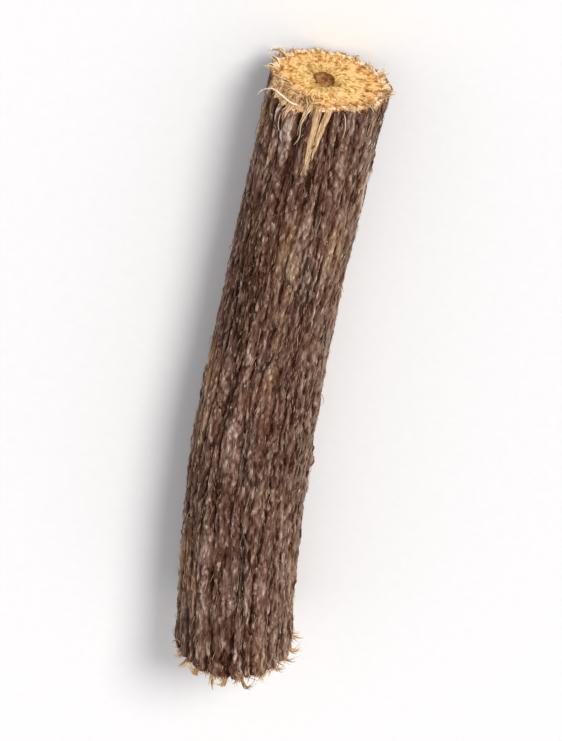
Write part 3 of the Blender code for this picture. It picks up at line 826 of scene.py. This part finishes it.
class Graph:
    """Short calls for the nodes of one material, or of the world."""

    def __init__(self, owner):
        owner.use_nodes = True
        self.owner, self.tree = owner, owner.node_tree

    def feed(self, node, inputs):
        """Links a node's inputs to other nodes' outputs, or sets them where plain values are given."""
        for name, source in inputs.items():
            if isinstance(source, bpy.types.NodeSocket):
                self.tree.links.new(source, node.inputs[name])
            else:
                node.inputs[name].default_value = source

    def node(self, kind, inputs, output=0, **settings):
        """Adds a shader node of a kind, feeds its inputs and gives one of its outputs."""
        node = self.tree.nodes.new("ShaderNode" + kind)
        for name, value in settings.items():
            setattr(node, name, value)
        self.feed(node, inputs)
        return node.outputs[output]

    def attribute(self, name, output="Fac"):
        return self.node("Attribute", {}, output, attribute_name=name)

    def math(self, operation, first, second):
        return self.node("Math", {0: first, 1: second}, operation=operation)

    def product(self, *sources):
        total = sources[0]
        for source in sources[1:]:
            total = self.math("MULTIPLY", total, source)
        return total

    def plus(self, *terms):
        """The sum of pairs of a source and its weight, each source taken from its middle of 0.5."""
        total = 0.5
        for source, weight in terms:
            total = self.math("ADD", self.product(self.math("SUBTRACT", source, 0.5), weight), total)
        return total

    def stretched(self, vector, scale, shift=(0, 0, 0)):
        return self.node("VectorMath", {0: vector, 1: scale, 2: shift}, operation="MULTIPLY_ADD")

    def noise(self, vector, scale, detail=2.0, distortion=0.0, shift=(0, 0, 0)):
        """Noise of the given cells to a unit along each of the vector's axes."""
        inputs = {"Vector": self.stretched(vector, scale, shift), "Scale": 1.0}
        return self.node("TexNoise", inputs | {"Detail": detail, "Distortion": distortion})

    def own_noise(self, scale, detail):
        """Noise over the object's own metres."""
        return self.noise(self.node("TexCoord", {}, "Object"), scale, detail)

    def pores(self, vector, scale):
        return self.node("TexVoronoi", {"Vector": self.stretched(vector, scale), "Scale": 1.0})

    def band(self, source, low, high):
        """0 below low and 1 above high, or the other way round where low is the greater."""
        inputs = {"Value": source, "From Min": low, "From Max": high}
        return self.node("MapRange", inputs, interpolation_type="SMOOTHSTEP")

    def ramp(self, source, *stops):
        """A colour ramp from stops, each a place and a screen colour's red, green and blue."""
        node = self.tree.nodes.new("ShaderNodeValToRGB")
        elements = node.color_ramp.elements
        while len(elements) < len(stops):
            elements.new(0.5)
        for element, (position, *screen) in zip(elements, stops):
            element.position = position
            element.color = linear(*screen)
        self.feed(node, {0: source})
        return node.outputs[0]

    def mix(self, share, first, second, blend="MIX"):
        inputs = {0: share, 6: first, 7: second}
        return self.node("Mix", inputs, 2, data_type="RGBA", blend_type=blend)

    def laid(self, screen, colour, *shares):
        """The colour with a screen colour laid over it, as far as the product of the shares."""
        return self.mix(self.product(*shares), colour, linear(*screen))

    def finish(self, roughness, specular, colour, height, distance, strength=1.0):
        """Gives the material its gloss, its colour and a bump of the given depth in metres."""
        bump = self.node("Bump", {"Strength": strength, "Distance": distance, "Height": height})
        looks = {"Roughness": roughness, "Specular IOR Level": specular, "Base Color": colour}
        self.feed(self.tree.nodes["Principled BSDF"], looks | {"Normal": bump})
        return self.owner


def new_material(name):
    return Graph(bpy.data.materials.new(name))


def bark_colour(g, straight):
    """Dark furrows, brown flanks and tan crests, partly their own colour and partly painted shade and light,
    streaked, with golden and greyish purple patches and painted light on the sunlit side.
    """
    streak = g.noise(straight, (0.6, 2.4, 2.4), 5.0, 0.4)
    hair = g.noise(straight, (1.2, 6.4, 6.4), 3.0)
    grit = g.noise(straight, (5.0, 11.0, 11.0), 2.0)
    zone = g.noise(straight, (0.055, 0.22, 0.22), 2.0, shift=(3.7, 1.3, 5.1))
    other_zone = g.noise(straight, (0.09, 0.35, 0.45), 2.0)
    relief, painted_crease_shade, plate, speck, dark = map(g.attribute, ("relief", "painted_crease_shade", "plate", "speck", "dark"))
    # Painted shade and light: the bark's depth and fine creases darken the furrows and lighten the crests, on
    # top of the bark's own darker furrows and worn tan crests
    level = g.plus((relief, 0.52), (painted_crease_shade, 0.85), (streak, 0.85), (hair, 0.55), (plate, 0.14), (zone, 0.5))
    base = g.ramp(level, (0.08, 20, 6, 1), (0.3, 54, 25, 13), (0.5, 91, 60, 46), (0.66, 117, 87, 74),
                  (0.84, 154, 128, 114), (0.97, 206, 185, 170))
    golden = g.ramp(level, (0.15, 46, 22, 9), (0.5, 118, 79, 50), (0.88, 186, 148, 106))
    purple = g.ramp(level, (0.15, 28, 17, 16), (0.5, 86, 64, 58), (0.9, 164, 141, 126))
    colour = g.mix(g.product(g.band(zone, 0.52, 0.68), 0.45), base, golden)
    colour = g.mix(g.product(g.band(other_zone, 0.52, 0.66), 0.6), colour, purple)
    # Painted light: the side of the stick towards the sun is laid paler in streaks
    painted_lit_side = g.band(g.node("SeparateXYZ", {0: straight}, "Y"), 2.5, 5.5)
    colour = g.laid((150, 130, 112), colour, painted_lit_side, g.band(streak, 0.44, 0.6), 0.5)
    colour = g.laid((200, 172, 138), colour, g.band(hair, 0.6, 0.7), g.band(grit, 0.5, 0.64), 0.7)
    colour = g.laid((216, 193, 170), colour, g.band(speck, 0.35, 0.8), g.band(grit, 0.36, 0.6), 0.5)
    # Painted shade laid into the scar pits, stub hollows and the torn gap
    colour = g.laid((40, 24, 16), colour, dark, 0.7)
    return colour, g.plus((hair, 0.8), (grit, 0.5), (streak, 0.8)), hair, grit


def face_colour(g, straight, spoke, share, grit):
    """The sawn wood: pith, yellow wood with fine rays, dark cambium line, pale band and dark edge."""
    ray = g.noise(spoke, (21, 21, 1.6), 4.0, 0.3)
    fine_ray = g.noise(spoke, (62, 62, 5.0), 3.0)
    mottle = g.noise(straight, (1.2, 1.2, 1.2), 4.0)
    coarse = g.noise(straight, (3.4, 3.4, 3.4), 4.0)
    wobble = g.plus((coarse, 0.08), (ray, 0.05))
    place_out = g.math("ADD", share, g.math("SUBTRACT", wobble, 0.5))
    rings = g.ramp(
        place_out, (0.02, 196, 152, 114), (0.11, 182, 140, 102), (0.14, 136, 96, 56), (0.165, 132, 98, 50),
        (0.19, 222, 190, 126), (0.42, 243, 211, 151), (0.72, 238, 201, 143), (0.81, 230, 190, 134),
        (0.84, 204, 158, 108), (0.862, 250, 226, 188), (0.955, 253, 233, 204), (0.978, 190, 144, 104),
        (0.995, 98, 68, 52),
    )
    tone = g.plus((ray, 0.75), (fine_ray, 0.5), (coarse, 1.0), (mottle, 1.45))
    shade = g.ramp(tone, (0.12, 136, 98, 66), (0.35, 200, 164, 122), (0.57, 241, 233, 217),
                   (0.8, 255, 255, 255))
    colour = g.mix(1.0, rings, shade, "MULTIPLY")
    colour = g.laid((218, 154, 90), colour, g.band(mottle, 0.56, 0.72), g.band(share, 0.3, 0.5), 0.4)
    inner = g.product(g.band(share, 0.6, 0.3), g.band(share, 0.19, 0.24))
    colour = g.laid((222, 196, 108), colour, g.band(mottle, 0.48, 0.38), inner, 0.35)
    pore = g.product(g.band(g.pores(straight, (5.6, 5.6, 5.6)), 0.2, 0.09), g.band(share, 0.16, 0.22))
    pore = g.product(pore, g.band(coarse, 0.62, 0.4))
    colour = g.laid((138, 92, 48), colour, pore, 0.6)
    # Painted shade laid into the face's cracks and notches
    colour = g.laid((96, 62, 26), colour, g.attribute("dark"), 0.75)
    height = g.plus((fine_ray, 0.6), (coarse, 0.7), (grit, 0.35))
    return colour, g.math("SUBTRACT", height, g.product(pore, 0.5))


def stick_material():
    """Bark, bare wood where it is torn, and the sawn faces, each with its own colours and bump."""
    g = new_material("root_bark_and_wood")
    straight, spoke = g.attribute("straight", "Vector"), g.attribute("spoke", "Vector")
    share = g.attribute("share")
    on_bark, bark_height, hair, grit = bark_colour(g, straight)
    on_face, face_height = face_colour(g, straight, spoke, share, grit)
    tone = g.plus((hair, 1.1), (g.noise(straight, (0.3, 3.0, 3.0), 4.0), 1.1))
    torn = g.ramp(tone, (0.15, 118, 76, 46), (0.42, 190, 144, 98), (0.62, 228, 190, 144),
                  (0.88, 248, 222, 188))
    wood = g.band(g.plus((g.attribute("wood"), 1.0), (hair, 0.35), (grit, 0.2)), 0.42, 0.6)
    face = g.band(share, 1.004, 0.996)
    colour = g.mix(face, g.mix(wood, on_bark, torn), on_face)
    height = g.node("Mix", {0: face, 2: bark_height, 3: face_height}, data_type="FLOAT")
    return g.finish(0.86, 0.12, colour, height, 0.00007)


def fibre_material(name, dark, middle, pale):
    """Dry fibres, each with a tone of its own and a paler tip."""
    g = new_material(name)
    level = g.plus((g.attribute("tint"), 0.9), (g.attribute("tip"), 0.35))
    colour = g.ramp(level, (0.08, *dark), (0.45, *middle), (0.92, *pale))
    mottle = g.own_noise((1400, 5200, 5200), 3.0)
    shade = g.ramp(mottle, (0.3, 190, 176, 160), (0.62, 255, 255, 255))
    return g.finish(0.72, 0.35, g.mix(0.8, colour, shade, "MULTIPLY"), mottle, 0.00002)


def flake_material():
    """Thin brown cork, paler towards its free edge."""
    g = new_material("cork_scale")
    mottle = g.own_noise((700, 3600, 3600), 4.0)
    level = g.plus((g.attribute("tint"), 0.7), (mottle, 1.0), (g.attribute("tip"), 0.3))
    colour = g.ramp(level, (0.15, 46, 28, 22), (0.45, 90, 62, 50), (0.72, 122, 94, 80), (0.97, 178, 152, 130))
    return g.finish(0.86, 0.25, colour, mottle, 0.00003)


def dress(obj, material):
    """Gives a finished piece its material and ties it to the model."""
    obj.data.materials.append(material)
    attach(obj, "root")


def build_pieces():
    body = stick()
    dress(body, stick_material())
    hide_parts("licorice_root")
    gold = fibre_material("wood_fibre", (150, 106, 62), (220, 178, 120), (246, 222, 182))
    drab = fibre_material("bark_fibre", (66, 42, 32), (142, 108, 82), (222, 196, 162))
    torn = fibre_material("torn_wood", (170, 118, 72), (226, 182, 132), (248, 218, 178))
    pale = fibre_material("pale_fibre", (214, 172, 112), (240, 214, 168), (255, 244, 222))
    for end in (SHOWY, FAR):
        dress(tubes(end.name + "_splinters", *splinter_bundles(end), sides=4), gold)
    for end in (SHOWY, FAR):
        dress(tubes(end.name + "_fringe", *rim_fibres(end)), gold)
    dress(tubes("bark_hairs", *bark_hairs(2600, 51)), drab)
    strands = [strand(*strip) for strip in TORN_STRIPS]
    joined = [np.concatenate(parts) for parts in zip(*strands)]
    dress(tubes("torn_strands", *joined, sides=4), torn)
    dress(tubes("loose_fibres", *loose_fibres(), sides=6), pale)
    dress(flakes(270, 71), flake_material())


# Stage

SUN_DIRECTION, SUN_SPREAD = (0.75, -0.42, 0.85), radians(22)
SUN_STRENGTH, SUN_COLOUR = 2.55, (1.0, 0.975, 0.94)
HORIZON_STRENGTH, SKY_STRENGTH, SKY_FALL_HEIGHT = 0.98, 0.56, 0.45
SKY_COLOUR = (0.97, 0.98, 1.0, 1.0)
FLOOR_HALF_SIZE, FLOOR_DROP = 1.5, 0.00002
CAMERA_TILT = radians(34.5)
CAMERA_ROLL = radians(9.5)
CAMERA_LENS = 428
CAMERA_DISTANCE = 0.9
CAMERA_AIM = (-0.0008, -0.0011, 0.006)


def sun():
    """A broad, distant light from beyond the showy end, so that the whole floor is lit alike."""
    data = bpy.data.lights.new("key", "SUN")
    data.energy = SUN_STRENGTH
    data.angle = SUN_SPREAD
    data.color = SUN_COLOUR
    light = bpy.data.objects.new("key", data)
    light.rotation_euler = Vector(SUN_DIRECTION).to_track_quat("Z", "Y").to_euler()
    bpy.context.scene.collection.objects.link(light)


def surround():
    """A pale surround, brightest at the horizon, where it meets the floor."""
    g = Graph(bpy.data.worlds.new("surround"))
    upwards = g.node("SeparateXYZ", {0: g.node("TexCoord", {}, "Generated")}, "Z")
    fall = {"From Max": SKY_FALL_HEIGHT, "To Min": HORIZON_STRENGTH, "To Max": SKY_STRENGTH}
    strength = g.node("MapRange", {"Value": upwards} | fall)
    g.feed(g.tree.nodes["Background"], {"Color": SKY_COLOUR, "Strength": strength})
    bpy.context.scene.world = g.owner


def studio():
    """A pale floor under soft light."""
    size = FLOOR_HALF_SIZE
    corners = [(-size, -size, 0), (size, -size, 0), (size, size, 0), (-size, size, 0)]
    floor = mesh_object("floor", corners, [(0, 1, 2, 3)])
    floor.location.z = -FLOOR_DROP
    g = new_material("paper")
    tooth = g.own_noise((900, 900, 900), 3.0)
    colour = g.ramp(tooth, (0.3, 241, 240, 241), (0.7, 243, 242, 243))
    floor.data.materials.append(g.finish(0.9, 0.2, colour, tooth, 0.00002, 0.3))
    sun()
    surround()
    bpy.context.scene.view_settings.view_transform = "Standard"


def camera():
    """Looks down on the stick from the side of its showy end, which lies at the top of the picture."""
    towards = Vector((sin(CAMERA_TILT), 0, cos(CAMERA_TILT)))
    right = Vector((0, -1, 0))
    up = towards.cross(right)
    turned = Matrix.Rotation(CAMERA_ROLL, 3, towards)
    right, up = turned @ right, turned @ up
    data = bpy.data.cameras.new("camera")
    data.lens = CAMERA_LENS
    data.clip_start = 0.01
    view = bpy.data.objects.new("camera", data)
    axes = Matrix((right, up, towards)).transposed().to_4x4()
    view.matrix_world = Matrix.Translation(Vector(CAMERA_AIM) + CAMERA_DISTANCE * towards) @ axes
    bpy.context.scene.collection.objects.link(view)
    bpy.context.scene.camera = view


camera()
build_pieces()
studio()
